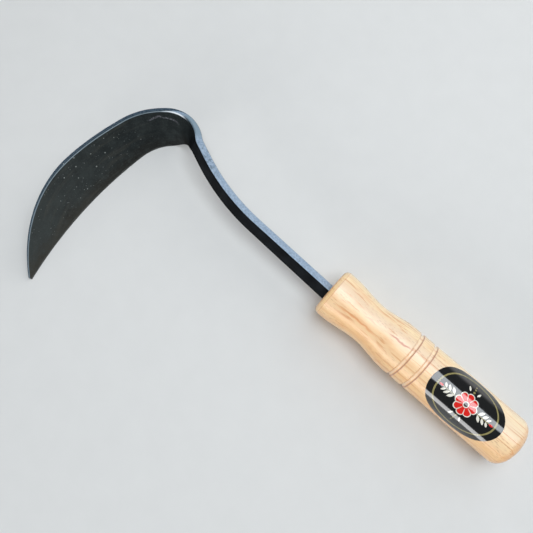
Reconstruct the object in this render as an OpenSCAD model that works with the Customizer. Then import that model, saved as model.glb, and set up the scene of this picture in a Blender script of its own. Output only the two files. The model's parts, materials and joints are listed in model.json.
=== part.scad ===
// Japanese hand hoe: a thin forged blade that curves round from a rectangular steel neck, whose
// tang sits in a turned wooden handle. The hoe lies on the ground as it does when it is put down:
// the handle's axis runs along X, the head points to +X, the blade sweeps round to +Y and stands
// on its cutting edge, leaning outwards. Millimetres, with the ground at Z = 0.

/* [Handle] */
// Length of the handle
handle_l = 138.5; // [130:0.5:170]
// Diameter of the flare at the front
flare_d = 32; // [30:0.5:38]
// Diameter of the waist behind the flare
waist_d = 27; // [24:0.5:29]
// Diameter of the barrel, from the waist to the butt
barrel_d = 32; // [29:0.5:36]
// Distance from the front face to where the waist starts to draw in
flare_l = 6; // [5:0.5:12]
// Distance from the front face to the thinnest point of the waist
waist_x = 31.5; // [28:0.5:36]
// Distance from the front face to the start of the barrel
barrel_x = 53; // [46:0.5:56]
// Rounding of the front rim
front_r = 3; // [1:0.5:4]
// Rounding of the butt's rim
butt_r = 6; // [2:0.5:8]
// Distance from the front face to the first ring groove
ring_x = 59; // [58:0.5:64]
// Distance between the two ring grooves
ring_pitch = 10; // [8:0.5:14]
// Width of a ring groove, with its soft shoulders
groove_w = 2.8; // [2:0.1:4]
// Depth of a ring groove
groove_depth = 0.9; // [0.4:0.1:1.5]

/* [Label] */
// Length of the oval label along the handle
label_l = 48; // [30:1:54]
// Width of the label, measured round the barrel
label_w = 38.5; // [20:0.5:40]
// Distance from the second ring groove to the label's front end
label_gap = 6.5; // [3:0.5:10]
// Thickness of the label
label_t = 0.1; // [0.1:0.05:0.3]
// Turn of the label from the top of the barrel towards the blade's side
label_turn = 9.5; // [0:0.5:30]

/* [Neck and tang] */
// Height of the bar where it leaves the handle
neck_h = 10; // [8:0.2:11]
// Height of the bar where the blade begins, and of its tongue
bar_h = 9.2; // [8:0.2:10]
// Thickness of the bar
neck_t = 5.8; // [5:0.2:7]
// Distance from the handle's axis to the middle of the tang, on the blade's side
tang_side = 2.3; // [0:0.1:3]
// Angle between the handle's axis and the tang and neck, which lean away from the blade's side
neck_turn = 1.4; // [0:0.1:3]
// Length of the tang inside the handle
tang_l = 90; // [60:1:110]
// Height of the tang at its tip
tang_tip_h = 4; // [3:0.5:6]
// Thickness of the tang at its tip
tang_tip_t = 3; // [2:0.5:4]
// Gap round the tang that the bedding fills
bed_gap = 0.5; // [0.3:0.1:1]
// Length of the straight neck
neck_l = 63; // [50:1:80]
// Length of the neck's slow bend away from the blade's side
ease_l = 54; // [40:1:70]
// Angle of that slow bend
ease_turn = 20.5; // [10:0.5:25]
// Length of the straight lead into the elbow
lead_l = 15.5; // [10:0.5:25]
// Rise of the neck from the handle to the elbow
neck_rise = 8; // [4:0.5:10]
// Lean of the neck's sides from upright
neck_lean = 29; // [20:1:35]

/* [Blade] */
// Length of the elbow, measured along the cutting edge
elbow_l = 17.5; // [14:0.5:24]
// Angle that the elbow turns
elbow_turn = 67; // [55:1:80]
// Length of the bend behind the elbow
heel_l = 21.5; // [15:0.5:30]
// Angle that this bend turns
heel_turn = 37; // [25:1:45]
// Length of the long sweep to the tip
sweep_l = 109.5; // [90:0.5:130]
// Angle that the sweep turns
sweep_turn = 22; // [10:1:35]
// Length over which the bar spreads into the blade, before the elbow
spread_l = 6; // [3:0.5:10]
// Width of the blade at the heel
heel_w = 31; // [26:0.5:34]
// Greatest width of the blade
blade_w = 35.5; // [32:0.5:40]
// Distance from the heel to the blade's widest point
belly_l = 62; // [45:1:75]
// Width of the blunt tip
tip_w = 2.5; // [2:0.5:5]
// Lean of the blade from upright at the heel
heel_lean = 20; // [15:1:25]
// Lean of the blade from upright at its widest point
blade_lean = 25; // [18:1:30]
// Thickness of the spine at the heel
spine_t = 3.2; // [2.4:0.1:4.5]
// Thickness of the spine at the tip
tip_t = 1.2; // [1:0.1:2]
// Thickness left at the cutting edge
edge_t = 0.3; // [0.2:0.05:0.35]
// Width of the bevel ground on the outer side
bevel_w = 9; // [5:0.5:12]
// Width of the hard steel strip welded along the edge
steel_w = 12; // [8:0.5:14]
// Thickness of the hard steel strip
steel_t = 0.9; // [0.6:0.1:1.2]
// Length of the bar's tongue that is welded into the blade, from where the bar spreads
tongue_l = 44; // [34:1:56]
// Worn corner along the inner side of the spine and of the neck's top
ridge_c = 0.8; // [0.4:0.1:1]
// Worn corners along the other sides
corner_c = 0.5; // [0.2:0.1:0.7]

/* [Hidden] */
$fn = 96;

// Share of the spine's extra thickness that is left where the bevel starts
bevel_share = 0.55;
// Largest shares of the blade's width that the bevel and the steel strip take near the tip
bevel_max = 0.35;
steel_max = 0.45;
// Largest share of the bevel's thickness that the steel strip takes
steel_deep = 0.5;
// Least thickness of a welded layer at its end
feather = 0.3;
// Length of the step where one piece ends inside another
step_l = 0.02;
// Distance from where the bar starts to spread to where the blade's own plate starts
plate_lag = 3;
// How sharply the blade narrows past its belly, and how soon its spine thins
narrow_power = 2;
thin_power = 1.5;
// Spacing of the sections along the neck, the elbow and the blade
neck_step = 3;
elbow_step = 1;
blade_step = 2;
// Length that a cutting shape runs past the face that it cuts
cut = 1;
// Points on half of the waist's curve, on a groove and on half of the label's outline
waist_n = 12;
groove_n = 8;
label_n = 36;
// Angle between the points of a rounded rim
rim_step = 10;

axis_z = max(flare_d, barrel_d) / 2;
lead_s = neck_l + ease_l;
elbow_s = lead_s + lead_l;
spread_s = elbow_s - spread_l;
heel_s = elbow_s + elbow_l;
belly_s = heel_s + belly_l;
tip_s = heel_s + heel_l + sweep_l;
tongue_s = spread_s + tongue_l;

// Runs of the cutting edge's path, seen from above: length, then turn towards the blade's side
RUNS = [
    [neck_l, 0],
    [ease_l, -ease_turn],
    [lead_l, 0],
    [elbow_l, elbow_turn],
    [heel_l, heel_turn],
    [sweep_l, sweep_turn]
];

// General functions
function blend(a, b, t) = a + (b - a) * t;
function share(s, from, to) = min(max((s - from) / (to - from), 0), 1);
function smooth(t) = t * t * (3 - 2 * t);
function spaced(from, to, step) =
    let (n = ceil((to - from) / step)) [for (i = [0 : n]) blend(from, to, i / n)];

// The path: where a run that starts at p with heading h ends, and the place and heading at s
function run_end(p, h, l, turn) =
    turn == 0
        ? p + l * [cos(h), sin(h)]
        : let (r = l / (turn * PI / 180))
            p + r * [sin(h + turn) - sin(h), cos(h) - cos(h + turn)];
function walk(s, p, h, i = 0) =
    let (l = RUNS[i][0], turn = RUNS[i][1], part = min(s / l, 1))
        s <= l || i == len(RUNS) - 1
            ? [run_end(p, h, l * part, turn * part), h + turn * part]
            : walk(s - l, run_end(p, h, l, turn), h + turn, i + 1);

// How far the bar has spread into the blade at s, and how far the blade has come to its belly
function spread(s) = smooth(share(s, spread_s, heel_s));
function to_belly(s) = share(s, heel_s, belly_s);
function past_belly(s) = share(s, belly_s, tip_s);

// Sizes of the strip at the distance s along the path
function bar_height(s) = blend(neck_h, bar_h, share(s, 0, neck_l));
function width(s) =
    s < heel_s ? blend(bar_height(s), heel_w, spread(s))
    : s < belly_s ? blend(heel_w, blade_w, sin(90 * to_belly(s)))
    : blend(blade_w, tip_w, pow(past_belly(s), narrow_power));
function lean(s) =
    s < heel_s ? blend(neck_lean, heel_lean, spread(s))
    : blend(heel_lean, blade_lean, smooth(to_belly(s)));
function thick(s) =
    s < heel_s ? blend(neck_t, spine_t, spread(s))
    : blend(tip_t, spine_t, pow(1 - past_belly(s), thin_power));
function low_thick(s) = blend(neck_t, edge_t, spread(s));
function bevel_thick(s) = blend(low_thick(s), thick(s), bevel_share);
function bevel_width(s) = min(bevel_w, bevel_max * width(s));
function steel_width(s) = min(steel_w, steel_max * width(s));
function steel_thick(s) = min(steel_t, steel_deep * bevel_thick(s));

// The strip's directions at s: across it towards the spine, and out through its thickness
function spine_dir(h, l) = [sin(h) * sin(l), -cos(h) * sin(l), cos(l)];
function out_dir(h, l) = [sin(h) * cos(l), -cos(h) * cos(l), -sin(l)];

// Directions of the straight neck and of the tang, and the middle of the bar at the handle's face
NECK_DIR = [cos(neck_turn), -sin(neck_turn), 0];
NECK_UP = spine_dir(-neck_turn, neck_lean);
NECK_OUT = out_dir(-neck_turn, neck_lean);
BAR_MIDDLE = [0, tang_side, axis_z];

// Lower inner corner of the bar at the handle's face, and of the strip at s
BAR_FOOT = BAR_MIDDLE - NECK_UP * neck_h / 2 - NECK_OUT * neck_t / 2;
function foot_z(s) =
    blend(BAR_FOOT.z + neck_rise * share(s, 0, spread_s), edge_t * sin(lean(s)), spread(s));

// Points of one section. An outline point is the distance down from the spine's inner corner,
// then the distance out from the inner face.
function section(s, outline) =
    let (
        place = walk(s, [BAR_FOOT.x, BAR_FOOT.y], -neck_turn),
        up = spine_dir(place[1], lean(s)),
        out = out_dir(place[1], lean(s)),
        top = [place[0].x, place[0].y, foot_z(s)] + up * width(s)
    )
    [for (q = outline) top - up * q[0] + out * q[1]];

// Solid through a list of sections that have the same number of points
module loft(sections) {
    m = len(sections[0]);
    n = len(sections);
    sides = [
        for (i = [0 : n - 2]) for (j = [0 : m - 1])
            let (k = (j + 1) % m)
            each [
                [i * m + j, i * m + k, (i + 1) * m + k],
                [i * m + j, (i + 1) * m + k, (i + 1) * m + j]
            ]
    ];
    first = [for (j = [m - 1 : -1 : 0]) j];
    last = [for (j = [0 : m - 1]) (n - 1) * m + j];
    polyhedron([for (ring = sections) each ring], concat([first], sides, [last]));
}

// Outline of the bar: a rectangle with a worn ridge and worn corners
function bar_outline(h, t, ridge, corner) = [
    [ridge, 0],
    [h - corner, 0],
    [h, corner],
    [h, t - corner],
    [h - corner, t],
    [corner, t],
    [0, t - corner],
    [0, min(ridge, t / 2)]
];

// The bar and the tongue that thins out inside the blade. Its corners are sharp where the blade
// covers them.
function tongue_thick(s) = max(thick(s) * (1 - share(s, spread_s, tongue_s)), feather);
function shank_outline(s) =
    let (open = s <= spread_s, t = open ? neck_t : min(tongue_thick(s), thick(s) - feather))
        bar_outline(open ? bar_height(s) : bar_h, t, ridge_c, open ? corner_c : step_l);
SHANK_S = concat(
    [0],
    spaced(neck_l, spread_s, neck_step),
    spaced(spread_s + step_l, heel_s, elbow_step),
    spaced(heel_s + blade_step, tongue_s, blade_step)
);

// The tang's sections run back from the handle's face to its tip, about its own middle line
function tang_section(x) =
    let (
        t = x / tang_l,
        k = blend(1, tang_tip_t / neck_t, t),
        h = blend(neck_h, tang_tip_h, t),
        b = blend(neck_t, tang_tip_t, t),
        top = BAR_MIDDLE - NECK_DIR * x + NECK_UP * h / 2 - NECK_OUT * b / 2
    )
    [
        for (q = bar_outline(h, b, ridge_c * k, corner_c * k))
            top - NECK_UP * q[0] + NECK_OUT * q[1]
    ];

// Tapered rectangular seat for the tang, wider than it by the gap on every side
module seat(gap) {
    deep = tang_l + 2 * gap;
    function at(a, b, x) = blend(a, b, x / tang_l) / 2 + gap;
    function taper(a, b, front, back) = [
        [-front, at(a, b, front)],
        [-front, -at(a, b, front)],
        [-back, -at(a, b, back)],
        [-back, at(a, b, back)]
    ];
    translate(BAR_MIDDLE) rotate([0, 0, -neck_turn]) rotate([neck_lean, 0, 0]) intersection() {
        translate([0, 0, -neck_h]) linear_extrude(2 * neck_h)
            polygon(taper(neck_t, tang_tip_t, -cut, deep));
        rotate([90, 0, 0]) translate([0, 0, -neck_h]) linear_extrude(2 * neck_h)
            polygon(taper(neck_h, tang_tip_h, -cut, deep));
    }
}

// Outline of the blade. The tongue lies in its upper inner corner as far as it reaches, and the
// hard steel strip in its lower inner corner.
function blade_outline(s, tongue, steel) =
    let (
        w = width(s), t = thick(s), low = low_thick(s),
        bevel = bevel_width(s), shoulder = bevel_thick(s),
        tw = steel_width(s), tt = steel_thick(s),
        inlay = min(tongue_thick(s), t - feather)
    )
    concat(
        [tongue ? [bar_h, 0] : [ridge_c, 0]],
        steel
            ? [[w - tw, 0], [w - tw, tt], [w - bevel * (tt - low) / (shoulder - low), tt]]
            : [[w, 0], [w, low / 2], [w, low]],
        [[w - bevel, shoulder], [corner_c, t], [0, t - corner_c]],
        tongue
            ? [[0, inlay], [bar_h, inlay]]
            : [[0, ridge_c * t / spine_t], [ridge_c / 2, ridge_c / 2 * t / spine_t]]
    );

// Outline of the hard steel strip, from its weld line to the cutting edge
function steel_outline(s) =
    let (
        w = width(s), low = low_thick(s), tw = steel_width(s), tt = steel_thick(s),
        meet = w - bevel_width(s) * (tt - low) / (bevel_thick(s) - low)
    )
    [[w - tw, 0], [w, 0], [w, low], [meet, tt], [w - tw, tt]];

BLADE_S = [
    for (s = spaced(spread_s + plate_lag, heel_s, elbow_step)) [s, true, false],
    for (s = spaced(heel_s + step_l, tongue_s, blade_step)) [s, true, true],
    for (s = spaced(tongue_s + step_l, tip_s, blade_step)) [s, false, true]
];
STEEL_S = [for (q = BLADE_S) if (q[2]) q[0]];

BLADE = [for (q = BLADE_S) section(q[0], blade_outline(q[0], q[1], q[2]))];
STEEL = [for (s = STEEL_S) section(s, steel_outline(s))];
BAR = [for (s = SHANK_S) section(s, shank_outline(s))];

// The middle of the ground that the hoe covers goes to the origin
HEAD = [for (ring = concat(BLADE, STEEL, BAR)) each ring];
X_MAX = max([for (p = HEAD) p.x]);
Y_MAX = max(axis_z, max([for (p = HEAD) p.y]));
Y_MIN = min(-axis_z, min([for (p = HEAD) p.y]));
MIDDLE = [(X_MAX - handle_l) / 2, (Y_MAX + Y_MIN) / 2, 0];
module placed() translate(-MIDDLE) children();

// Radius of the handle at the distance x behind its front face, with its grooves
function waist_r(x) =
    let (from = x < waist_x ? flare_d : barrel_d, edge = x < waist_x ? flare_l : barrel_x)
        blend(waist_d, from, (1 + cos(180 * share(x, edge, waist_x))) / 2) / 2;
function groove(x, at) =
    barrel_d / 2 - groove_depth * (1 + cos(360 * share(x, at - groove_w / 2, at + groove_w / 2)
        - 180)) / 2;

module handle_body() {
    waist = [
        for (i = [0 : waist_n]) blend(flare_l, waist_x, i / waist_n),
        for (i = [1 : waist_n]) blend(waist_x, barrel_x, i / waist_n)
    ];
    rings = [
        for (at = [ring_x, ring_x + ring_pitch]) for (i = [0 : groove_n])
            let (x = at + groove_w * (i / groove_n - 0.5)) [groove(x, at), x]
    ];
    front = [
        for (a = [0 : rim_step : 90])
            [flare_d / 2 - front_r * (1 - sin(a)), front_r * (1 - cos(a))]
    ];
    butt = [
        for (a = [0 : rim_step : 90])
            [barrel_d / 2 - butt_r * (1 - cos(a)), handle_l - butt_r * (1 - sin(a))]
    ];
    outline = concat(
        [[0, 0]], front, [for (x = waist) [waist_r(x), x]], rings, butt, [[0, handle_l]]
    );
    translate([0, 0, axis_z]) rotate([0, -90, 0]) rotate_extrude() polygon(outline);
}

module handle() color("#e3b583") placed() difference() {
    handle_body();
    seat(bed_gap);
}

// The tang, run past the handle's face so that it cuts the bedding clean
module tang_cutter() loft([tang_section(tang_l), tang_section(-cut)]);

module tang_bedding() color("#5b4733") placed() difference() {
    intersection() {
        seat(bed_gap);
        translate([-handle_l, -axis_z, 0]) cube([handle_l, 2 * axis_z, 2 * axis_z]);
    }
    tang_cutter();
}

module shank() color("#2a2d30") placed() loft(concat([tang_section(tang_l)], BAR));
module blade() color("#33373a") placed() loft(BLADE);
module edge_steel() color("#43474a") placed() loft(STEEL);

// The label is an ellipse laid round the barrel. Seen along its middle's normal, its half width
// at each point is the barrel's radius times the sine of the angle that it wraps.
module label() color("#141414") placed() {
    r = barrel_d / 2;
    wrap = label_w / 2 / r * 180 / PI;
    middle = ring_x + ring_pitch + label_gap + label_l / 2;
    half = [
        for (i = [0 : label_n])
            let (a = 180 * i / label_n) [-label_l / 2 * cos(a), r * sin(wrap * sin(a))]
    ];
    other = [for (i = [label_n - 1 : -1 : 1]) [half[i].x, -half[i].y]];
    translate([-middle, 0, axis_z]) rotate([-label_turn, 0, 0]) intersection() {
        linear_extrude(barrel_d) polygon(concat(half, other));
        rotate([0, 90, 0]) difference() {
            cylinder(h = label_l + 2 * cut, r = r + label_t, center = true);
            cylinder(h = label_l + 4 * cut, r = r, center = true);
        }
    }
}

blade();
edge_steel();
shank();
tang_bedding();
handle();
label();
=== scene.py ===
import json
import math

import bpy
import numpy as np
from mathutils import Matrix, Vector

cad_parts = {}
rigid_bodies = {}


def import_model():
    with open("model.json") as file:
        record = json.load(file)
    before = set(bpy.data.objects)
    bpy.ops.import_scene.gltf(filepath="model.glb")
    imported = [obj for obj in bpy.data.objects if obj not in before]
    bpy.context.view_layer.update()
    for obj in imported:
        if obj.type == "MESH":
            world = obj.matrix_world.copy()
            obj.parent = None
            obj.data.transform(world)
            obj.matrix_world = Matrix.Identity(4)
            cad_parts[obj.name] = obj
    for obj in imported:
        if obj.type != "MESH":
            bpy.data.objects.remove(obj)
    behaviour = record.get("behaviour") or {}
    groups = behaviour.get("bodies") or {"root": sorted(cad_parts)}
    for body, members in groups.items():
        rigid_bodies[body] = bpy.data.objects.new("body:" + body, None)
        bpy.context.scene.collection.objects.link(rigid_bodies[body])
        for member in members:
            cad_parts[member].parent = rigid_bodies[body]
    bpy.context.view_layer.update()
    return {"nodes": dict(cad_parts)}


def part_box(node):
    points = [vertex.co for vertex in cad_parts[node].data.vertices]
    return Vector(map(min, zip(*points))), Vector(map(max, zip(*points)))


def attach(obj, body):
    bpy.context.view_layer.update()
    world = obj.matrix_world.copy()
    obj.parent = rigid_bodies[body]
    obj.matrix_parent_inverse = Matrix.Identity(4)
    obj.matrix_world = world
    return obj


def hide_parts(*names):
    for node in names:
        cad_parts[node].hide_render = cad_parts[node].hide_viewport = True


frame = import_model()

MM = 0.001

# Places taken from the frame: the handle's front face, butt, axis and barrel
HANDLE_LOW, HANDLE_HIGH = (Vector(corner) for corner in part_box("handle"))
FACE_X = HANDLE_HIGH.x
HANDLE_L = HANDLE_HIGH.x - HANDLE_LOW.x
AXIS_Y = (HANDLE_LOW.y + HANDLE_HIGH.y) / 2
AXIS_Z = (HANDLE_LOW.z + HANDLE_HIGH.z) / 2
BARREL_R = (HANDLE_HIGH.z - HANDLE_LOW.z) / 2

# Turned shape of the handle, measured back from its front face
FLARE_R = 16.0 * MM
WAIST_R = 13.5 * MM
FLARE_L = 6.0 * MM
WAIST_L = 31.5 * MM
BARREL_L = 53.0 * MM
FRONT_ROUND = 3.0 * MM
FRONT_CREASE = 0.24
BUTT_ROUND = 6.0 * MM
RINGS = (59.0 * MM, 69.0 * MM)
RING_WIDTH = 2.8 * MM
RING_DEPTH = 0.9 * MM
RING_FULLNESS = 2.4

# How finely the handle is turned, with the rows on its plain barrel in millimetres
HANDLE_SIDES = 160
RIM_STEPS = 16
WAIST_STEPS = 40
RING_HALF_STEPS = 7
BARREL_STATIONS = range(76, 125, 8)
BUTT_STEPS = 18

# The slot for the tang: the bedding round it, and the share of its mouth left at its end
BEDDING_T = 0.5 * MM
SLOT_END = (4.0 / 6.8, 5.0 / 11.0)

# Neck and blade, as they are forged: the bar, its lean and the runs of the cutting edge
TANG_L = 90.0 * MM
TANG_SIDE = 2.3 * MM
NECK_TURN = 1.4
NECK_LEAN = 29.0
NECK_H = 10.0 * MM
BAR_H = 9.2 * MM
NECK_T = 5.8 * MM
NECK_L = 63.0 * MM
NECK_RISE = 8.0 * MM
RUNS = (
    (63.0 * MM, 0.0),
    (54.0 * MM, -20.5),
    (15.5 * MM, 0.0),
    (17.5 * MM, 67.0),
    (21.5 * MM, 37.0),
    (109.5 * MM, 22.0),
)
SPREAD_S = 126.5 * MM
PLATE_S = 129.5 * MM
SPINE_T = 3.2 * MM
CORNER = 0.5 * MM
HEEL_S = 150.0 * MM
BELLY_S = 212.0 * MM
TIP_S = 281.0 * MM
HEEL_W = 31.0 * MM
BLADE_W = 35.5 * MM
TIP_W = 2.5 * MM
HEEL_LEAN = 20.0
BLADE_LEAN = 25.0
EDGE_T = 0.3 * MM

# The label's film, and the play that keeps it off the wood and inside the solid label
LABEL_L = 48.0 * MM
LABEL_W = 38.5 * MM
LABEL_START = 75.5 * MM
LABEL_TURN = 9.5
LABEL_T = 0.1 * MM
LABEL_GAP = 0.004 * MM
LABEL_PLAY = 0.006 * MM
LABEL_SIDES = 144
LABEL_RADII = [1.0, 0.985] + [0.95 - 0.05 * i for i in range(18)] + [0.04]

# Edges that bend by more than these angles stay sharp
FORGED_SHARP = 30
HANDLE_SHARP = 11
LABEL_SHARP = 40


def ramp(value, start, end):
    return np.clip((value - start) / (end - start), 0.0, 1.0)


def smooth(t):
    return t * t * (3 - 2 * t)


def walk_edge(step=0.25 * MM, behind=2 * MM, beyond=3 * MM):
    """Points of the cutting edge's path seen from above, with the heading at each. The path goes
    on a little behind the tang's end and beyond the tip."""
    heading = -math.radians(NECK_TURN)
    lean = math.radians(NECK_LEAN)
    sin_h, cos_h = math.sin(heading), math.cos(heading)
    up = Vector((sin_h * math.sin(lean), -cos_h * math.sin(lean), math.cos(lean)))
    out = Vector((sin_h * math.cos(lean), -cos_h * math.cos(lean), -math.sin(lean)))
    foot = Vector((FACE_X, AXIS_Y + TANG_SIDE, AXIS_Z)) - up * NECK_H / 2 - out * NECK_T / 2
    back = TANG_L + behind
    rows = [(-back, foot.x - back * cos_h, foot.y - back * sin_h, heading)]
    x, y, s = foot.x, foot.y, 0.0
    rows.append((s, x, y, heading))
    for length, turn in RUNS:
        count = round(length / step)
        for _ in range(count):
            mid = heading + math.radians(turn) / count / 2
            x += math.cos(mid) * length / count
            y += math.sin(mid) * length / count
            heading += math.radians(turn) / count
            s += length / count
            rows.append((s, x, y, heading))
    x += beyond * math.cos(heading)
    y += beyond * math.sin(heading)
    rows.append((s + beyond, x, y, heading))
    return np.array(rows), foot.z


EDGE_PATH, FOOT_Z = walk_edge()


def strip_places(points):
    """For each point: its distance along the head, down from the spine, out from the inner face,
    and up from the cutting edge. The strip's directions up and out come with them."""
    s_path, x, y, heading = EDGE_PATH.T
    along = (points[:, None, 0] - x) * np.cos(heading) + (points[:, None, 1] - y) * np.sin(heading)
    away = (points[:, None, 0] - x) ** 2 + (points[:, None, 1] - y) ** 2
    crossing = (along[:, :-1] >= 0) & (along[:, 1:] < 0)
    cost = np.where(crossing, away[:, :-1], 1.0)
    i = np.argmin(cost, axis=1)
    rows = np.arange(len(points))
    ahead, behind = along[rows, i], along[rows, i + 1]
    t = np.clip(ahead / np.where(ahead - behind == 0, 1, ahead - behind), 0, 1)
    s = s_path[i] + (s_path[i + 1] - s_path[i]) * t
    px = x[i] + (x[i + 1] - x[i]) * t
    py = y[i] + (y[i + 1] - y[i]) * t
    h = heading[i] + (heading[i + 1] - heading[i]) * t
    spread = smooth(ramp(s, SPREAD_S, HEEL_S))
    belly = ramp(s, HEEL_S, BELLY_S)
    bar = NECK_H + (BAR_H - NECK_H) * ramp(s, 0, NECK_L)
    wide = np.where(
        s < HEEL_S, bar + (HEEL_W - bar) * spread,
        np.where(s < BELLY_S, HEEL_W + (BLADE_W - HEEL_W) * np.sin(belly * math.pi / 2),
                 BLADE_W + (TIP_W - BLADE_W) * ramp(s, BELLY_S, TIP_S) ** 2),
    )
    lean = np.radians(np.where(
        s < HEEL_S, NECK_LEAN + (HEEL_LEAN - NECK_LEAN) * spread,
        HEEL_LEAN + (BLADE_LEAN - HEEL_LEAN) * smooth(belly),
    ))
    neck_z = (FOOT_Z + NECK_RISE * ramp(s, 0, SPREAD_S)) * (1 - spread)
    foot_z = neck_z + EDGE_T * np.sin(lean) * spread
    up = np.stack([np.sin(h) * np.sin(lean), -np.cos(h) * np.sin(lean), np.cos(lean)], 1)
    out = np.stack([np.sin(h) * np.cos(lean), -np.cos(h) * np.cos(lean), -np.sin(lean)], 1)
    gap = points - np.stack([px, py, foot_z], 1)
    rise = np.einsum("ij,ij->i", gap, up)
    depth = np.einsum("ij,ij->i", gap, out)
    return s, wide - rise, depth, rise, up, out


# Small helpers for modelling
def select_none():
    if bpy.context.mode != "OBJECT":
        bpy.ops.object.mode_set(mode="OBJECT")
    bpy.ops.object.select_all(action="DESELECT")


def pick(piece):
    select_none()
    piece.select_set(True)
    bpy.context.view_layer.objects.active = piece


def settle(piece, name):
    """Name a finished piece and bring its place into its mesh."""
    pick(piece)
    bpy.ops.object.transform_apply(location=True, rotation=True, scale=True)
    piece.name = name
    piece.data.name = name
    return piece


def smooth_below(angle):
    bpy.ops.object.shade_smooth_by_angle(angle=math.radians(angle))


def smooth_copy(node, name, weld=0.002 * MM, flat=8, square=70):
    """A welded copy of a CAD node's mesh. Triangles that lie within the flat angle of one another
    are joined where the quad that they make is square enough."""
    pick(frame["nodes"][node])
    bpy.ops.object.duplicate()
    piece = bpy.context.object
    bpy.ops.object.parent_clear(type="CLEAR_KEEP_TRANSFORM")
    bpy.ops.object.mode_set(mode="EDIT")
    bpy.ops.mesh.select_all(action="SELECT")
    bpy.ops.mesh.remove_doubles(threshold=weld)
    bpy.ops.mesh.customdata_custom_splitnormals_clear()
    bpy.ops.mesh.tris_convert_to_quads(face_threshold=math.radians(flat),
                                       shape_threshold=math.radians(square))
    bpy.ops.object.mode_set(mode="OBJECT")
    settle(piece, name)
    smooth_below(FORGED_SHARP)
    piece.data.materials.clear()
    return piece


def mesh_points(piece):
    points = np.empty(len(piece.data.vertices) * 3)
    piece.data.vertices.foreach_get("co", points)
    return points.reshape(-1, 3)


def carry_bar_on(neck, margin=0.01 * MM, near=0.05 * MM):
    """Keep the bar's full outline up to where the plate of the blade begins, so that the one runs
    into the other with no step. Its lower corners fade from their worn width to sharp."""
    points = mesh_points(neck)
    s, down, depth, _, up, out = strip_places(points)
    spread = smooth(ramp(s, SPREAD_S, HEEL_S))
    thick = NECK_T + (SPINE_T - NECK_T) * spread
    wide = BAR_H + (HEEL_W - BAR_H) * spread
    here = (s > SPREAD_S + margin) & (s < PLATE_S)
    # how thick the tongue is at each point's own place along the head
    tongue = np.zeros(len(s))
    for i in np.flatnonzero(here):
        tongue[i] = depth[here & (np.abs(s - s[i]) < near)].max()
    at_back, at_top, at_foot = (depth > tongue - near), (down < near), (down > BAR_H - near)
    face_back = (tongue - depth) < np.where(at_top, down, BAR_H - down)
    face_inner = at_foot & (depth < BAR_H - down)
    worn = CORNER * (1 - ramp(s, SPREAD_S, PLATE_S))
    new_down, new_depth = down.copy(), depth.copy()
    # each corner of the bar is worn off, so two points stand in for it
    corner = here & at_back & at_top
    new_down[corner] = np.where(face_back, CORNER, 0.0)[corner]
    new_depth[corner] = np.where(face_back, thick, thick - CORNER)[corner]
    corner = here & at_back & at_foot
    new_down[corner] = np.where(face_back, wide - worn, wide)[corner]
    new_depth[corner] = np.where(face_back, thick, thick - worn)[corner]
    corner = here & at_foot & (depth < near)
    new_down[corner] = np.where(face_inner, wide - worn, wide)[corner]
    new_depth[corner] = np.where(face_inner, 0.0, worn)[corner]
    points += up * (down - new_down)[:, None] + out * (new_depth - depth)[:, None]
    neck.data.vertices.foreach_set("co", points.ravel())
    pick(neck)
    bpy.ops.object.mode_set(mode="EDIT")
    bpy.ops.mesh.select_all(action="SELECT")
    bpy.ops.mesh.remove_doubles(threshold=near)
    bpy.ops.object.mode_set(mode="OBJECT")
    smooth_below(FORGED_SHARP)


def write_strip(piece):
    """Keep each point's place on the strip of the head, so that the finish can follow it."""
    s, down, depth, rise, _, _ = strip_places(mesh_points(piece))
    strip = piece.data.attributes.new("strip", "FLOAT_VECTOR", "POINT")
    strip.data.foreach_set("vector", np.stack([s, down, depth], 1).ravel())
    height = piece.data.attributes.new("edge_height", "FLOAT", "POINT")
    height.data.foreach_set("value", rise)


# Shader helpers: the kinds of socket that the groups have, and the colour sockets of a mix
FLOAT, VECTOR = "NodeSocketFloat", "NodeSocketVector"
MIX_FACTOR, MIX_A, MIX_B, MIX_RESULT = 0, 6, 7, 2


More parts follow.
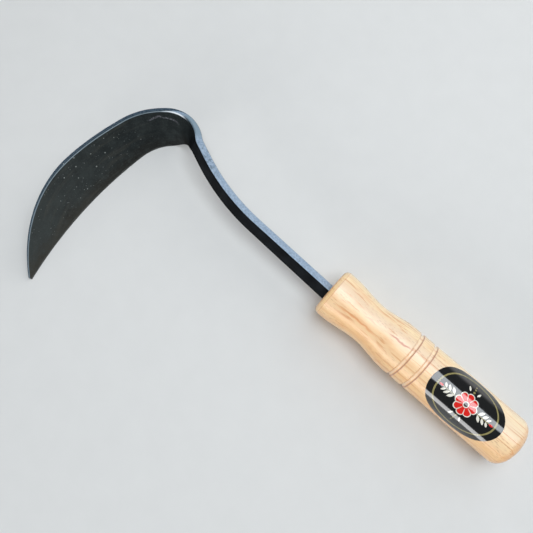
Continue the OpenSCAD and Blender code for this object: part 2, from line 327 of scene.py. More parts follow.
class Nodes:
    """Short names for the nodes that a material or a group is built from."""

    def __init__(self, tree):
        self.tree = tree

    def add(self, kind, values=None, **settings):
        node = self.tree.nodes.new(kind)
        for key, value in settings.items():
            setattr(node, key, value)
        for key, value in (values or {}).items():
            self.feed(node.inputs[key], value)
        return node

    def feed(self, target, value):
        if isinstance(value, bpy.types.NodeSocket):
            self.tree.links.new(value, target)
        else:
            target.default_value = value

    def math(self, operation, a, b=0.0):
        return self.add("ShaderNodeMath", {0: a, 1: b}, operation=operation).outputs[0]

    def plus(self, a, b):
        return self.math("ADD", a, b)

    def minus(self, a, b):
        return self.math("SUBTRACT", a, b)

    def times(self, a, b):
        return self.math("MULTIPLY", a, b)

    def larger(self, a, b):
        return self.math("MAXIMUM", a, b)

    def size(self, a):
        return self.math("ABSOLUTE", a)

    def reach(self, a, b):
        """How far the point with these two coordinates lies from the middle."""
        return self.math("SQRT", self.plus(self.math("POWER", a, 2.0), self.math("POWER", b, 2.0)))

    def blend(self, amount, a, b):
        return self.add("ShaderNodeMix", {MIX_FACTOR: amount, MIX_A: a, MIX_B: b},
                        data_type="RGBA", clamp_factor=True).outputs[MIX_RESULT]

    def cover(self, colour, *coats):
        """Lay tints over a colour one after another, each through its own mask."""
        for amount, tint in coats:
            colour = self.blend(amount, colour, tint)
        return colour

    def step(self, value, low, high, to_low=0.0, to_high=1.0):
        node = self.add("ShaderNodeMapRange", {"Value": value, "From Min": low, "From Max": high,
                                               "To Min": to_low, "To Max": to_high},
                        interpolation_type="SMOOTHSTEP")
        return node.outputs["Result"]

    def noise(self, vector, scale, detail=3.0, rough=0.5, twist=0.0):
        node = self.add("ShaderNodeTexNoise", {"Vector": vector, "Scale": scale, "Detail": detail,
                                               "Roughness": rough, "Distortion": twist})
        return node.outputs[0]

    def stretch(self, vector, scale, place=(0, 0, 0), turn=(0, 0, 0)):
        node = self.add("ShaderNodeMapping", {"Vector": vector, "Location": place, "Rotation": turn,
                                              "Scale": scale})
        return node.outputs[0]

    def object_place(self):
        return self.add("ShaderNodeTexCoord").outputs["Object"]


def rgb(r, g, b):
    """A colour given as it looks on a screen, 0 to 255."""
    def linear(c):
        c /= 255
        return c / 12.92 if c <= 0.04045 else ((c + 0.055) / 1.055) ** 2.4
    return (linear(r), linear(g), linear(b), 1.0)


def new_material(name):
    material = bpy.data.materials.new(name)
    material.use_nodes = True
    tree = material.node_tree
    tree.nodes.clear()
    n = Nodes(tree)
    shader = n.add("ShaderNodeBsdfPrincipled")
    end = n.add("ShaderNodeOutputMaterial")
    tree.links.new(shader.outputs[0], end.inputs[0])
    return material, n, shader


def set_surface(n, shader, colour, roughness, height, strength, distance):
    """What each finish of the hoe has: its colour, its roughness and a small relief."""
    n.feed(shader.inputs["Base Color"], colour)
    n.feed(shader.inputs["Roughness"], roughness)
    bump = n.add("ShaderNodeBump", {"Height": height, "Strength": strength, "Distance": distance})
    n.feed(shader.inputs["Normal"], bump.outputs[0])


def new_group(name, inputs, outputs):
    group = bpy.data.node_groups.new(name, "ShaderNodeTree")
    for label, kind, value in inputs:
        made = group.interface.new_socket(name=label, in_out="INPUT", socket_type=kind)
        if value is not None:
            made.default_value = value
    for label in outputs:
        group.interface.new_socket(name=label, in_out="OUTPUT", socket_type=FLOAT)
    n = Nodes(group)
    return group, n, n.add("NodeGroupInput").outputs, n.add("NodeGroupOutput").inputs


def place_group(n, group, values):
    return n.add("ShaderNodeGroup", values, node_tree=group).outputs


# Forged surface: slow mottling, fine scale and pale specks of dried dust
def forge_group():
    group, n, given, result = new_group(
        "forged_skin", [("Place", VECTOR, None), ("Speck Share", FLOAT, 0.1)],
        ["Mottle", "Fine", "Specks", "Height"],
    )
    place = given["Place"]
    fine = n.noise(place, 800.0, 4.0, 0.65)
    n.feed(result["Mottle"], n.noise(place, 110.0, 4.0, 0.6))
    n.feed(result["Fine"], fine)

    def dots(scale, least, most):
        """Round specks in some of the cells, between two sizes given as parts of a cell."""
        cells = n.add("ShaderNodeTexVoronoi", {"Vector": place, "Scale": scale, "Randomness": 1.0})
        draw = n.add("ShaderNodeSeparateColor", {"Color": cells.outputs["Color"]}).outputs
        smaller = n.times(draw[1], most - least)
        dot = n.step(n.plus(cells.outputs["Distance"], smaller), most, most * 0.7)
        return n.times(dot, n.math("LESS_THAN", draw[0], given["Speck Share"]))

    large, small = dots(300.0, 0.07, 0.17), dots(560.0, 0.1, 0.22)
    n.feed(result["Specks"], n.larger(large, n.times(small, 0.4)))
    slow = n.noise(place, 170.0, 2.0, 0.5)
    n.feed(result["Height"], n.plus(n.times(slow, 0.7), n.times(fine, 0.2)))
    return group


# Runs of the marks along the head in millimetres: start, full, last full and end
BRIGHT_RUN = (139, 143, 144.5, 153)
SHADE_RUN = (131, 135, 140, 143)
BEND_RUN = (127, 134, 140, 144)
SCALE_RUN = (98, 108, 122, 130)
DUST_RUN = (156, 176, 244, 268)
WELD_RUN = (143, 147, 156, 160)
WELD_POINT = 153 * MM
WELD_DOWN = 4.3 * MM


# Marks that follow the strip of the head, from the bar of the neck to the tip of the blade
def strip_group():
    group, n, given, result = new_group(
        "strip_marks",
        [("Strip", VECTOR, None), ("Edge Height", FLOAT, 0.0), ("Mottle", FLOAT, 0.5),
         ("Fine", FLOAT, 0.5)],
        ["Top", "Ridge Highlight", "Foot", "Weld", "Neck", "Bend", "Bar Shade", "Bright", "Tip", "Drawn", "Scale",
         "Dusty", "Edge"],
    )
    s, down, depth = n.add("ShaderNodeSeparateXYZ", {0: given["Strip"]}).outputs
    height = given["Edge Height"]
    drift = n.minus(given["Mottle"], 0.5)

    def along(start, full, last, end):
        """1 from full to last, in millimetres, and falling to 0 at start and end."""
        return n.times(n.step(s, start * MM, full * MM), n.step(s, end * MM, last * MM))

    n.feed(result["Top"], n.step(down, 0.35 * MM, 0.1 * MM))
    # a painted highlight on worn bare metal along the spine's inner corner, wider just past the
    # elbow
    bright = along(*BRIGHT_RUN)
    n.feed(result["Bright"], bright)
    across = n.size(n.plus(n.minus(depth, down), 0.45 * MM))
    across = n.minus(across, n.times(bright, 0.35 * MM))
    near = n.times(n.step(n.plus(depth, down), 2.0 * MM, 1.4 * MM), n.step(s, 138 * MM, 144 * MM))
    n.feed(result["Ridge Highlight"], n.times(n.step(across, 0.52 * MM, 0.2 * MM), near))
    # the pale top of the neck is a painted reflection of the sky; it narrows towards the inner
    # corner as it turns into the blade, where painted shade darkens it
    rim = n.plus(n.times(n.minus(s, 137 * MM), -0.5), 5.6 * MM)
    painted_pale = n.step(n.minus(depth, rim), 0.6 * MM, -0.6 * MM)
    shade = n.times(along(*SHADE_RUN), n.step(depth, 2.2 * MM, 0.4 * MM, 0.0, 0.75))
    n.feed(result["Neck"], n.times(painted_pale, n.minus(1.0, shade)))
    # browner towards the cutting edge, and worn along it
    n.feed(result["Foot"], n.step(n.plus(height, n.times(drift, 14 * MM)), 13 * MM, 1 * MM))
    n.feed(result["Edge"], n.step(n.plus(height, n.times(drift, 3 * MM)), 1.6 * MM, 0.2 * MM))
    n.feed(result["Bend"], along(*BEND_RUN))
    # painted shade: the sides of the neck's bar are darker than the blade, up to the elbow
    n.feed(result["Bar Shade"], n.step(s, 143 * MM, 130 * MM))
    n.feed(result["Tip"], n.step(s, 150 * MM, 265 * MM))
    # streaks that were drawn out along the blade under the hammer
    drawn = n.noise(n.stretch(given["Strip"], (30, 300, 60)), 1.0, 3.0, 0.55)
    n.feed(result["Drawn"], n.times(n.step(drawn, 0.48, 0.72), n.step(s, 150 * MM, 175 * MM)))
    # a patch of scale on the neck just before the elbow
    rough = n.noise(given["Strip"], 420.0, 3.0, 0.6)
    n.feed(result["Scale"], n.times(n.step(rough, 0.5, 0.62), along(*SCALE_RUN)))
    n.feed(result["Dusty"], n.times(along(*DUST_RUN), n.step(height, 4 * MM, 8 * MM)))
    # the weld mark comes to a blunt point near the spine and falls away on both sides of it
    fall = n.times(n.size(n.minus(s, WELD_POINT)), 0.45)
    middle = n.plus(n.plus(fall, WELD_DOWN), n.times(drift, 5 * MM))
    off = n.size(n.minus(down, middle))
    mark = n.times(n.step(off, 1.1 * MM, 0.2 * MM), n.step(given["Fine"], 0.36, 0.6))
    inner = n.times(along(*WELD_RUN), n.step(depth, 0.5 * MM, 0.2 * MM))
    n.feed(result["Weld"], n.times(mark, inner))
    return group


FORGED = forge_group()
STRIP = strip_group()


def forged_material(name, speck_share, edge_wear):
    """Black forged iron, the same from piece to piece so that the welds don't show."""
    material, n, shader = new_material(name)
    skin = place_group(n, FORGED, {"Place": n.object_place(), "Speck Share": speck_share})
    mottle, fine = skin["Mottle"], skin["Fine"]
    strip = n.add("ShaderNodeAttribute", attribute_name="strip").outputs["Vector"]
    rise = n.add("ShaderNodeAttribute", attribute_name="edge_height").outputs["Fac"]
    mark = place_group(n, STRIP, {"Strip": strip, "Edge Height": rise, "Mottle": mottle,
                                  "Fine": fine})

    side = n.blend(mark["Tip"], rgb(32, 37, 38), rgb(58, 62, 61))
    foot = n.blend(mark["Tip"], rgb(33, 32, 30), rgb(60, 57, 51))
    # painted shade, near black, for the sides of the neck's bar
    bar = n.blend(n.step(mottle, 0.35, 0.7), rgb(9, 11, 14), rgb(24, 27, 31))
    # painted reflection of the sky on the neck's top face: pale blue-grey, greyer on the bend, with
    # the real patch of scale laid over it
    worn = n.cover(
        n.blend(n.step(fine, 0.3, 0.7), rgb(144, 166, 190), rgb(184, 202, 221)),
        (mark["Bend"], rgb(146, 166, 180)),
        (n.times(mark["Scale"], 0.6), rgb(96, 112, 126)),
    )
    # a dimmer painted reflection of the sky on the spine's top face along the blade
    spine_top_reflection = n.blend(n.step(fine, 0.35, 0.75), rgb(52, 66, 78), rgb(84, 100, 113))
    # painted highlight along the spine's inner corner, near white where it is brightest
    ridge_highlight = n.blend(mark["Bright"], rgb(124, 138, 147), rgb(240, 246, 252))
    colour = n.cover(
        side,
        (n.times(mark["Foot"], 0.75), foot),
        (n.step(mottle, 0.4, 0.72, 0.0, 0.28), rgb(70, 76, 75)),
        (n.step(mottle, 0.45, 0.25, 0.0, 0.32), rgb(22, 25, 26)),
        (n.step(fine, 0.45, 0.75, 0.0, 0.22), rgb(78, 84, 84)),
        (n.times(mark["Drawn"], 0.3), rgb(78, 76, 70)),
        # the bar's sides take the painted shade
        (mark["Bar Shade"], bar),
        (n.times(mark["Edge"], edge_wear), rgb(104, 106, 104)),
        (mark["Weld"], rgb(108, 108, 114)),
        # the top faces take the painted sky reflection: pale on the neck, dim along the spine
        (mark["Top"], n.blend(mark["Neck"], spine_top_reflection, worn)),
        # the painted highlight along the ridge
        (n.times(mark["Ridge Highlight"], n.step(mottle, 0.2, 0.5, 0.6, 1.0)), ridge_highlight),
        (n.times(skin["Specks"], n.step(mark["Dusty"], 0.0, 1.0, 0.05, 1.0)), rgb(140, 145, 142)),
    )
    roughness = n.step(fine, 0.2, 0.8, 0.38, 0.56)
    set_surface(n, shader, colour, roughness, skin["Height"], 0.4, 0.12 * MM)
    bare = n.larger(n.times(mark["Top"], mark["Neck"]), n.times(mark["Ridge Highlight"], mark["Bright"]))
    n.feed(shader.inputs["Metallic"], n.times(bare, 0.5))
    shader.inputs["Specular IOR Level"].default_value = 0.05
    return material


# Darker streaks in the wood
WOOD_STREAKS = (
    # start and end behind the front face in millimetres, angle from the top and half width in
    # degrees, strength and tint
    (9, 41, 25, 3.4, 0.72, rgb(224, 140, 80)),
    (8, 25, 36, 3.6, 0.42, rgb(218, 142, 86)),
    (40, 60, -2, 3.2, 0.9, rgb(196, 118, 84)),
    (24, 36, 4, 3.5, 0.35, rgb(214, 146, 112)),
    (18, 50, 128, 7.0, 0.5, rgb(214, 138, 84)),
    (96, 128, -74, 5.0, 0.5, rgb(212, 138, 92)),
    (74, 112, 166, 6.0, 0.5, rgb(216, 142, 92)),
)

# Painted shade in the crease behind the front rim and painted light and shade in the grooves: place
# behind the front face, half width, strength and tint
RING_LIGHT_AND_SHADE = [(FRONT_ROUND, 0.3 * MM, 0.5, rgb(206, 134, 80))]
for ring in RINGS:
    RING_LIGHT_AND_SHADE += [
        # a groove's bed painted pale as a highlight, the dark line of grime and painted shade
        # behind it and the thin line of painted shade in front of it
        (ring, 0.9 * MM, 0.35, rgb(255, 236, 216)),
        (ring + 1.3 * MM, 0.5 * MM, 0.8, rgb(190, 132, 110)),
        (ring - 1.35 * MM, 0.3 * MM, 0.45, rgb(206, 150, 122)),
    ]


def wood_material():
    """Pale fine-grained wood under a thin varnish, its grain running along the handle."""
    material, n, shader = new_material("pale_turned_wood")
    place = n.stretch(n.object_place(), (1, 1, 1), (-FACE_X, -AXIS_Y, -AXIS_Z))
    x, y, z = n.add("ShaderNodeSeparateXYZ", {0: place}).outputs
    back = n.times(x, -1.0)
    around = n.math("ARCTAN2", y, z)
    grain_bed = n.stretch(place, (0.1, 1, 1), turn=(math.radians(24), 0, math.radians(1.6)))
    layers = n.add("ShaderNodeTexWave",
                   {"Vector": grain_bed, "Scale": 75.0, "Distortion": 6.0, "Detail": 3.0,
                    "Detail Scale": 1.2, "Detail Roughness": 0.6},
                   wave_type="BANDS", bands_direction="Z", wave_profile="SIN").outputs["Fac"]
    fibre = n.noise(n.stretch(place, (70, 1300, 1300)), 1.0, 4.0, 0.65)
    streaky = n.noise(n.stretch(place, (28, 330, 330)), 1.0, 3.0, 0.6)
    cloud = n.noise(n.stretch(place, (30, 70, 70)), 1.0, 3.0, 0.55)
    hair = n.noise(n.stretch(place, (14, 620, 620)), 1.0, 2.0, 0.5, 0.4)
    drawn_out = n.stretch(place, (260, 1500, 1500))
    flecks = n.add("ShaderNodeTexVoronoi", {"Vector": drawn_out, "Scale": 1.0})
    pore = n.times(n.step(flecks.outputs["Distance"], 0.34, 0.2), n.step(cloud, 0.4, 0.62))

    # painted light and shade round the handle, changing slowly with the angle: painted shade makes
    # the blade's side warm, a painted highlight makes a lighter shoulder above it, and the far
    # side, towards the light, is painted pale, most of all towards the butt
    painted_pale = n.times(n.step(around, 0.45, -0.25), n.step(around, -2.9, -1.9, 0.0, 0.75))
    lit_shoulder = n.times(n.step(around, 0.1, 0.4), n.step(around, 0.8, 0.55, 0.0, 0.42))
    shaded_flank = n.times(n.step(around, 0.6, 0.85), n.step(around, 3.0, 2.2, 0.0, 0.3))
    colour = n.cover(
        n.blend(n.step(cloud, 0.3, 0.7), rgb(252, 198, 133), rgb(254, 216, 160)),
        (n.step(layers, 0.35, 0.95, 0.0, 0.3), rgb(232, 166, 100)),
        (lit_shoulder, rgb(250, 225, 190)),
        (shaded_flank, rgb(244, 190, 126)),
        (painted_pale, rgb(248, 224, 196)),
        (n.times(painted_pale, n.step(around, -0.25, -0.75)), rgb(255, 228, 178)),
        (n.times(painted_pale, n.step(back, 110 * MM, 125 * MM, 0.0, 0.7)), rgb(253, 234, 200)),
        (n.step(streaky, 0.52, 0.72, 0.0, 0.42), rgb(230, 160, 102)),
        (n.step(hair, 0.56, 0.66, 0.0, 0.62), rgb(218, 148, 90)),
        (n.step(fibre, 0.5, 0.75, 0.0, 0.4), rgb(216, 152, 96)),
        (n.times(pore, 0.42), rgb(162, 104, 66)),
    )

    sway = n.times(n.minus(n.noise(n.stretch(place, (90, 90, 90)), 1.0), 0.5), 0.35)
    ragged = n.times(n.minus(streaky, 0.5), 1.1)
    for start, end, angle, half_width, amount, tint in WOOD_STREAKS:
        middle, half = (start + end) / 2 * MM, (end - start) / 2 * MM
        u = n.math("DIVIDE", n.minus(back, middle), half)
        aside = n.plus(n.minus(around, math.radians(angle)), sway)
        v = n.math("DIVIDE", aside, math.radians(half_width))
        streak = n.step(n.plus(n.reach(u, v), ragged), 1.1, 0.35)
        colour = n.blend(n.times(streak, amount), colour, tint)

    # a pale rounded rim, and warmer end grain on the front face and round the butt
    face = n.step(back, 0.9 * MM, 0.75 * MM, 0.0, 0.45)
    butt = n.step(back, HANDLE_L - 6.5 * MM, HANDLE_L - 2.5 * MM, 0.0, 0.5)
    butt_flat = n.step(back, HANDLE_L - 0.5 * MM, HANDLE_L - 0.2 * MM, 0.0, 0.45)
    # growth rings across both ends, curved round a heart that lies outside the handle
    across = n.stretch(place, (1, 1, 1), (0, 24 * MM, 30 * MM))
    years = n.add("ShaderNodeTexWave",
                  {"Vector": across, "Scale": 190.0, "Distortion": 2.2, "Detail": 2.0,
                   "Detail Scale": 1.5, "Detail Roughness": 0.5},
                  wave_type="RINGS", rings_direction="X", wave_profile="SAW").outputs["Fac"]
    colour = n.cover(
        colour,
        (n.step(back, 3.1 * MM, 2.2 * MM, 0.0, 0.5), rgb(252, 212, 148)),
        (n.larger(butt, face), rgb(230, 160, 94)),
        (n.times(n.step(years, 0.45, 1.0), n.larger(face, butt_flat)), rgb(190, 122, 66)),
    )
    broken = n.step(fibre, 0.2, 0.5, 0.7, 1.0)
    # painted shade in the rim's crease, painted highlight and shade in the grooves
    for at, half, amount, tint in RING_LIGHT_AND_SHADE:
        line = n.times(n.step(n.size(n.minus(back, at)), half, half * 0.3), broken)
        colour = n.blend(n.times(line, amount), colour, tint)

    relief = n.minus(n.times(fibre, 0.4), n.times(pore, 0.5))
    set_surface(n, shader, colour, n.step(fibre, 0.3, 0.8, 0.36, 0.5), relief, 0.3, 0.06 * MM)
    shader.inputs["Specular IOR Level"].default_value = 0.5
    shader.inputs["Coat Weight"].default_value = 1.0
    shader.inputs["Coat Roughness"].default_value = 0.27
    return material


def resin_material():
    material, n, shader = new_material("brown_bedding_resin")
    place = n.object_place()
    colour = n.blend(n.noise(place, 700.0), rgb(66, 44, 28), rgb(104, 74, 48))
    roughness = n.step(n.noise(place, 1200.0), 0.3, 0.7, 0.5, 0.75)
    set_surface(n, shader, colour, roughness, n.noise(place, 900.0), 0.5, 0.1 * MM)
    return material


# The printed pattern, in millimetres on one quarter of the flat label, mirrored both ways
SPRAY = (
    # a leaf's place along and across, its turn in degrees, half length and half width
    (9.7, 1.75, 46, 2.1, 0.85),
    (12.4, 1.6, 46, 1.9, 0.78),
    (14.9, 1.4, 46, 1.6, 0.66),
)
BUD = ((17.2, 0.0, 0, 1.5, 0.62),)
SEEDS = ((0.0, 8.6, 0, 0.75, 0.75), (0.0, 10.7, 0, 0.62, 0.62), (0.0, 12.6, 0, 0.5, 0.5))
LONE_LEAF = ((3.1, 9.2, 62, 1.7, 0.62),)
PETALS = 8
PETAL_R = 5.1
PETAL_BULGE = 1.5


def leaf_group():
    """One leaf of the printed pattern, pointed at both ends, in millimetres on the flat label."""
    group, n, given, result = new_group(
        "printed_leaf",
        [("Along", FLOAT, 0.0), ("Across", FLOAT, 0.0), ("Turn", FLOAT, 0.0),
         ("Half Length", FLOAT, 1.0), ("Half Width", FLOAT, 0.5)],
        ["Mask"],
    )
    cos, sin = n.math("COSINE", given["Turn"]), n.math("SINE", given["Turn"])
    p = n.plus(n.times(given["Along"], cos), n.times(given["Across"], sin))
    q = n.minus(n.times(given["Across"], cos), n.times(given["Along"], sin))
    length = n.math("POWER", n.math("DIVIDE", p, given["Half Length"]), 2.0)
    width = n.math("DIVIDE", n.size(q), given["Half Width"])
    n.feed(result["Mask"], n.step(n.plus(length, width), 1.06, 0.94))
    return group


LEAF = leaf_group()


def label_material():
    """Glossy black film with a thin dull gold ring, a rosette and two leaf sprays."""
    material, n, shader = new_material("glossy_printed_film")
    flat = n.add("ShaderNodeUVMap", uv_map="print").outputs[0]
    u, v = n.add("ShaderNodeSeparateXYZ", {0: flat}).outputs[:2]
    oval = n.reach(u, v)
    along = n.times(u, LABEL_L / 2 / MM)
    across = n.times(v, LABEL_W / 2 / MM)
    side, height = n.size(along), n.size(across)
    wear = n.noise(n.object_place(), 500.0, 3.0, 0.6)
    gold = n.blend(wear, rgb(128, 118, 70), rgb(160, 150, 98))
    cream = rgb(236, 232, 218)
    red = rgb(222, 30, 20)

    ring = n.times(n.step(oval, 0.79, 0.797), n.step(oval, 0.838, 0.831))
    stem = n.times(n.step(side, 7.4, 7.6), n.step(side, 16.4, 16.2))
    stem = n.times(n.step(height, 0.26, 0.18), stem)
    colour = n.cover(n.blend(wear, rgb(7, 8, 8), rgb(14, 15, 15)), (ring, gold), (stem, gold))
    for leaves, tint in ((SPRAY, cream), (BUD, red), (SEEDS, gold), (LONE_LEAF, cream)):
        for place_along, place_across, turn, half_length, half_width in leaves:
            leaf = place_group(n, LEAF, {
                "Along": n.minus(side, place_along), "Across": n.minus(height, place_across),
                "Turn": math.radians(turn), "Half Length": half_length, "Half Width": half_width})
            colour = n.blend(leaf["Mask"], colour, tint)

    # the rosette, drawn by how far a point lies from the middle in its direction
    radius = n.reach(along, across)
    petal = n.size(n.math("COSINE", n.times(n.math("ARCTAN2", across, along), PETALS / 2)))
    gap = n.minus(radius, n.plus(n.times(n.math("POWER", petal, 0.6), PETAL_BULGE), PETAL_R))
    vein = n.times(n.step(radius, 2.2, 2.5), n.step(gap, 0.3, -0.2))
    vein = n.times(n.step(petal, 0.30, 0.16), vein)
    colour = n.cover(
        colour,
        (n.step(gap, 0.62, 0.5), cream),
        (n.step(gap, 0.05, -0.07), red),
        (n.times(vein, 0.8), cream),
        (n.step(radius, 1.9, 1.75), cream),
        (n.step(radius, 1.35, 1.2), rgb(24, 24, 22)),
    )
    relief = n.noise(n.object_place(), 260.0, 2.0, 0.5)
    set_surface(n, shader, colour, n.step(wear, 0.3, 0.7, 0.07, 0.13), relief, 0.14, 0.1 * MM)
    shader.inputs["Specular IOR Level"].default_value = 0.5
    shader.inputs["Coat Weight"].default_value = 1.0
    shader.inputs["Coat IOR"].default_value = 1.6
    shader.inputs["Coat Roughness"].default_value = 0.05
    return material


# The handle, turned from a ring that is drawn back along the axis
def handle_profile():
    """Distance behind the front face and radius, from the front rim to the butt."""
    rows = []
    for i in range(RIM_STEPS + 1):
        x = FRONT_ROUND * (1 - math.cos(math.radians(90 * i / RIM_STEPS)))
        left = (FRONT_ROUND - x) / FRONT_ROUND
        drop = FRONT_CREASE * left + (1 - FRONT_CREASE) * (1 - math.sqrt(max(1 - left * left, 0)))
        rows.append((x, FLARE_R - FRONT_ROUND * drop))

    for i in range(WAIST_STEPS + 1):
        x = FLARE_L + (BARREL_L - FLARE_L) * i / WAIST_STEPS
        edge, full = (FLARE_L, FLARE_R) if x < WAIST_L else (BARREL_L, BARREL_R)
        t = min(max((x - edge) / (WAIST_L - edge), 0), 1)
        rows.append((x, full + (WAIST_R - full) * (1 - math.cos(math.pi * t)) / 2))

    for ring in RINGS:
        for i in range(2 * RING_HALF_STEPS + 1):
            t = i / RING_HALF_STEPS - 1
            cut = RING_DEPTH * (1 - abs(t) ** RING_FULLNESS)
            rows.append((ring + RING_WIDTH / 2 * t, BARREL_R - cut))
    rows += [(x * MM, BARREL_R) for x in BARREL_STATIONS]
    for i in range(BUTT_STEPS + 1):
        a = math.radians(90 * i / BUTT_STEPS)
        x = HANDLE_L - BUTT_ROUND * (1 - math.sin(a))
        rows.append((x, BARREL_R - BUTT_ROUND * (1 - math.cos(a))))
    return rows


def turn_handle():
    rows = handle_profile()
    select_none()
    bpy.ops.mesh.primitive_circle_add(vertices=HANDLE_SIDES, radius=rows[0][1], fill_type="NGON",
                                      location=(FACE_X, AXIS_Y, AXIS_Z),
                                      rotation=(0, math.radians(90), 0))
    piece = bpy.context.object
    bpy.ops.object.mode_set(mode="EDIT")
    bpy.ops.mesh.select_all(action="SELECT")
    for (x0, r0), (x1, r1) in zip(rows, rows[1:]):
        bpy.ops.mesh.extrude_region_move(TRANSFORM_OT_translate={"value": (x0 - x1, 0, 0)})
        bpy.ops.transform.resize(value=(1, r1 / r0, r1 / r0),
                                 center_override=(FACE_X - x1, AXIS_Y, AXIS_Z))
    bpy.ops.mesh.select_all(action="SELECT")
    bpy.ops.mesh.normals_make_consistent(inside=False)
    bpy.ops.object.mode_set(mode="OBJECT")
    return settle(piece, "handle_turned")


def cut_slot(handle):
    """The tapered slot that holds the tang and its bedding. The cutter stands out of the front
    face, so that the slot is open there."""
    select_none()
    bpy.ops.mesh.primitive_cube_add(size=1.0, location=(0, 0, 0))
    cutter = bpy.context.object
    cutter.scale = (TANG_L + 4 * BEDDING_T, NECK_T + 2 * BEDDING_T, NECK_H + 2 * BEDDING_T)
    bpy.ops.object.transform_apply(scale=True)
    bpy.ops.object.mode_set(mode="EDIT")
    bpy.ops.mesh.select_all(action="DESELECT")
    bpy.ops.object.mode_set(mode="OBJECT")
    for vertex in cutter.data.vertices:
        vertex.select = vertex.co.x < 0
    bpy.ops.object.mode_set(mode="EDIT")
    bpy.ops.transform.resize(value=(1, *SLOT_END), center_override=(-TANG_L / 2, 0, 0))
    bpy.ops.object.mode_set(mode="OBJECT")
    turn = Matrix.Rotation(-math.radians(NECK_TURN), 4, "Z")
    lean = Matrix.Rotation(math.radians(NECK_LEAN), 4, "X")
    start = Matrix.Translation(Vector((FACE_X, AXIS_Y + TANG_SIDE, AXIS_Z)))
    inward = Matrix.Translation((-TANG_L / 2 + BEDDING_T, 0, 0))
    cutter.matrix_world = start @ (turn @ lean) @ inward
    settle(cutter, "slot_cutter")
    pick(handle)
    cut = handle.modifiers.new("slot", "BOOLEAN")
    cut.operation = "DIFFERENCE"
    cut.solver = "EXACT"
    cut.object = cutter
    bpy.ops.object.modifier_apply(modifier="slot")
    bpy.data.objects.remove(cutter)
    pick(handle)
    smooth_below(HANDLE_SHARP)


def face_up(mesh):
    if mesh.polygons[0].normal.z < 0:
        mesh.flip_normals()


def wrap_label():
    """The oval film: made flat, where it gets its print's coordinates, and then bent round."""
    select_none()
    bpy.ops.mesh.primitive_circle_add(vertices=LABEL_SIDES, radius=1.0, fill_type="NOTHING")
    piece = bpy.context.object
    bpy.ops.object.mode_set(mode="EDIT")
    bpy.ops.mesh.select_all(action="SELECT")
    for r0, r1 in zip(LABEL_RADII, LABEL_RADII[1:]):
        bpy.ops.mesh.extrude_edges_move(TRANSFORM_OT_translate={"value": (0, 0, 0)})
        bpy.ops.transform.resize(value=(r1 / r0, r1 / r0, 1), center_override=(0, 0, 0))
    bpy.ops.mesh.edge_face_add()
    bpy.ops.mesh.poke()
    bpy.ops.mesh.select_all(action="SELECT")
    bpy.ops.mesh.normals_make_consistent(inside=False)
    bpy.ops.object.mode_set(mode="OBJECT")
    mesh = piece.data
    flat = mesh_points(piece)
    face_up(mesh)
    uv = mesh.uv_layers.new(name="print")
    corners = np.empty(len(mesh.loops), dtype=np.int32)
    mesh.loops.foreach_get("vertex_index", corners)
    uv.data.foreach_set("uv", flat[corners][:, :2].ravel())
    radius = BARREL_R + LABEL_GAP
    angle = flat[:, 1] * LABEL_W / 2 / BARREL_R + math.radians(LABEL_TURN)
    middle = FACE_X - LABEL_START - LABEL_L / 2
    wrapped = np.stack([middle + flat[:, 0] * LABEL_L / 2,
                        AXIS_Y + radius * np.sin(angle),
                        AXIS_Z + radius * np.cos(angle)], 1)
    mesh.vertices.foreach_set("co", wrapped.ravel())
    mesh.update()
    pick(piece)
    face_up(mesh)
    film = piece.modifiers.new("film", "SOLIDIFY")
    film.thickness = LABEL_T - LABEL_PLAY
    film.offset = 1.0
    bpy.ops.object.modifier_apply(modifier="film")
    smooth_below(LABEL_SHARP)
    return settle(piece, "label_film")


# Build the pieces. The shares are of cells with a speck and of wear along the edge
iron_blade = forged_material("black_forged_blade", 0.55, 0.0)
iron_edge = forged_material("black_edge_steel", 0.55, 0.4)
iron_neck = forged_material("black_forged_neck", 0.2, 0.0)
pale_wood = wood_material()
resin = resin_material()
film = label_material()

FORGINGS = (
    ("blade", "blade_forged", iron_blade, "blade_iron"),
    ("edge_steel", "edge_forged", iron_edge, "edge_steel"),
    ("shank", "neck_forged", iron_neck, "shank_iron"),
)
for node, name, finish, slot in FORGINGS:
    forging = smooth_copy(node, name)
    if node == "shank":
        carry_bar_on(forging)
    write_strip(forging)
    forging.data.materials.append(finish)
    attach(forging, "root")
    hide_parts(node)

handle = turn_handle()
cut_slot(handle)
handle.data.materials.clear()
handle.data.materials.append(pale_wood)
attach(handle, "root")
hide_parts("handle")

label = wrap_label()
label.data.materials.append(film)
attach(label, "root")
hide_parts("label")

# The bedding is sealed inside, so its CAD mesh is shown as it is
for slot in frame["nodes"]["tang_bedding"].material_slots:
    slot.material = resin


# Floor, lights and camera, in front of a backdrop of this brightness
BACKDROP = 0.86


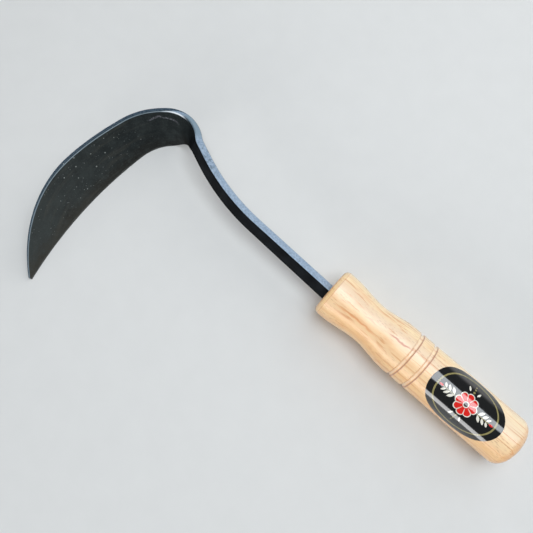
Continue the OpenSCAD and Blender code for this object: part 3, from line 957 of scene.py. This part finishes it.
def pale_floor():
    select_none()
    bpy.ops.mesh.primitive_plane_add(size=16.0, location=(0, 0, 0))
    floor = settle(bpy.context.object, "floor")
    material, n, shader = new_material("pale_floor")
    grain = n.noise(n.object_place(), 60.0)
    n.feed(shader.inputs["Base Color"], n.blend(grain, rgb(215, 215, 213), rgb(220, 220, 218)))
    shader.inputs["Roughness"].default_value = 0.9
    shader.inputs["Specular IOR Level"].default_value = 0.1
    # far from the hoe the floor fades into the white backdrop, for the camera and in reflections
    away = n.add("ShaderNodeVectorMath", {0: n.object_place()}, operation="LENGTH").outputs["Value"]
    path = n.add("ShaderNodeLightPath").outputs
    seen = n.times(path["Is Camera Ray"], n.step(away, 0.4, 1.1))
    mirrored = n.times(path["Is Glossy Ray"], n.step(away, 0.7, 2.6))
    white = (BACKDROP, BACKDROP, BACKDROP, 1.0)
    glow = n.add("ShaderNodeEmission", {"Color": white, "Strength": 1.0})
    mix = n.add("ShaderNodeMixShader", {0: n.larger(seen, mirrored), 1: shader.outputs[0],
                                        2: glow.outputs[0]})
    end = next(node for node in n.tree.nodes if node.type == "OUTPUT_MATERIAL")
    n.feed(end.inputs[0], mix.outputs[0])
    floor.data.materials.append(material)


def softbox(name, place, aim, width, depth, watts, colour=(1, 1, 1)):
    lamp = bpy.data.lights.new(name, "AREA")
    lamp.shape = "RECTANGLE"
    lamp.size = width
    lamp.size_y = depth
    lamp.energy = watts
    lamp.color = colour
    holder = bpy.data.objects.new(name, lamp)
    bpy.context.scene.collection.objects.link(holder)
    holder.location = place
    holder.rotation_euler = (Vector(aim) - Vector(place)).to_track_quat("-Z", "Y").to_euler()
    return holder


def studio():
    softbox("softbox_over_bench", (-0.12, -0.18, 1.2), (0, 0, 0), 0.96, 0.9, 11.8,
            colour=(0.92, 0.97, 1.02))
    softbox("softbox_side", (0.0, 1.3, 0.36), (0, 0, 0.02), 1.3, 0.42, 7.6)
    # a fill that shapes the far side of the handle without a streak of its own in the gloss
    behind = softbox("fill_behind", (-0.1, -1.1, 0.8), (0, 0, 0), 1.2, 0.9, 6.0)
    behind.visible_glossy = False
    world = bpy.data.worlds.new("studio_world")
    bpy.context.scene.world = world
    world.use_nodes = True
    world.node_tree.nodes.clear()
    n = Nodes(world.node_tree)
    # the white backdrop, for the camera and, up to some way above the horizon, in reflections
    path = n.add("ShaderNodeLightPath").outputs
    direction = n.add("ShaderNodeTexCoord").outputs["Generated"]
    height = n.add("ShaderNodeSeparateXYZ", {0: direction}).outputs[2]
    mirrored = n.times(path["Is Glossy Ray"], n.step(height, 0.45, 0.1))
    seen = n.larger(path["Is Camera Ray"], mirrored)
    sky = n.add("ShaderNodeBackground", {"Color": (0.92, 0.96, 1.0, 1.0), "Strength": 0.15})
    white = n.add("ShaderNodeBackground", {"Color": (1, 1, 1, 1), "Strength": BACKDROP})
    mix = n.add("ShaderNodeMixShader", {0: seen, 1: sky.outputs[0], 2: white.outputs[0]})
    n.add("ShaderNodeOutputWorld", {0: mix.outputs[0]})


# The camera: focal length and picture in pixels, directions, place by the handle's face, height
FOCAL_PX = 534.0
PICTURE_PX = 533.0
SENSOR_W = 36.0
VIEW_RIGHT = Vector((-0.74838, -0.66327, 0.0))
VIEW_UP = Vector((0.64878, -0.73203, 0.20791))
VIEW_BACK_X = 6.65 * MM
VIEW_SIDE_Y = 66.81 * MM
VIEW_HEIGHT = 341.37 * MM


def camera():
    view = bpy.data.cameras.new("camera")
    holder = bpy.data.objects.new("camera", view)
    bpy.context.scene.collection.objects.link(holder)
    view.sensor_width = SENSOR_W
    view.lens = FOCAL_PX / PICTURE_PX * SENSOR_W
    place = Vector((FACE_X - VIEW_BACK_X, AXIS_Y + VIEW_SIDE_Y, VIEW_HEIGHT))
    axes = Matrix((VIEW_RIGHT, VIEW_UP, VIEW_RIGHT.cross(VIEW_UP))).transposed().to_4x4()
    holder.matrix_world = Matrix.Translation(place) @ axes
    bpy.context.scene.camera = holder


pale_floor()
studio()
camera()
bpy.context.scene.view_settings.view_transform = "Standard"
